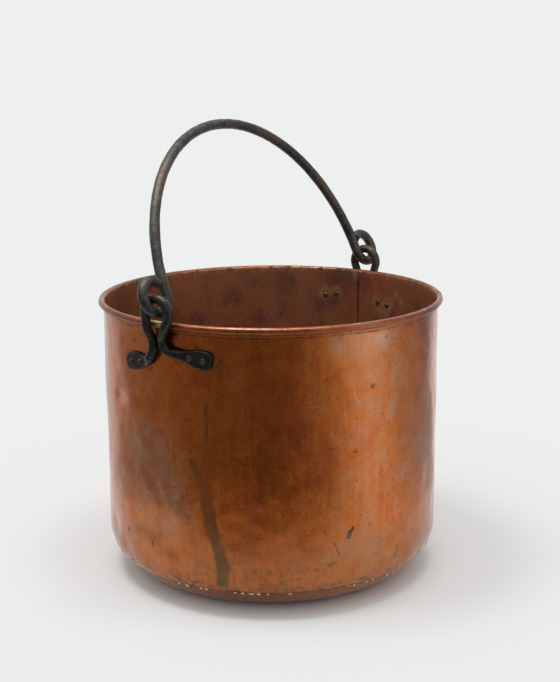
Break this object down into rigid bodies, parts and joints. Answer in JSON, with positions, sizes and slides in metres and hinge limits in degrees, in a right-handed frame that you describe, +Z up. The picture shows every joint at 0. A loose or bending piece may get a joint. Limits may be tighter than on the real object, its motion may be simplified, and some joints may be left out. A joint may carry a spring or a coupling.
{
  "type": "copper pot",
  "caption": "Round copper cooking pot with straight wall, curved corner, wired rim, two riveted iron ears and a swinging iron bail.",
  "frame": {"origin": "middle of the flat of the base, on the floor", "axes": "+Z up; the two ears and the hinge line lie along X, and the bail leans towards +Y at rest"},
  "size_m": [0.4136, 0.3604, 0.4708],
  "materials": {
    "copper": "aged copper, half matt",
    "iron": "dark forged iron with rust",
    "wire": "bare iron wire",
    "rivet": "tarnished copper"
  },
  "bodies": {
    "pot": {"pot_body": "copper", "base_pan": "copper", "rim_wire": "wire", "left_ear": "iron", "right_ear": "iron", "left_ear_rivets": "rivet", "right_ear_rivets": "rivet"},
    "bail": {"bail_handle": "iron"}
  },
  "joints": [
    {"name": "bail_swing", "type": "hinge", "parent": "pot", "child": "bail", "pos_m": [0, -0.002, 0.3008], "axis": [-1, 0, 0], "range_deg": [-114, 68]}
  ]
}
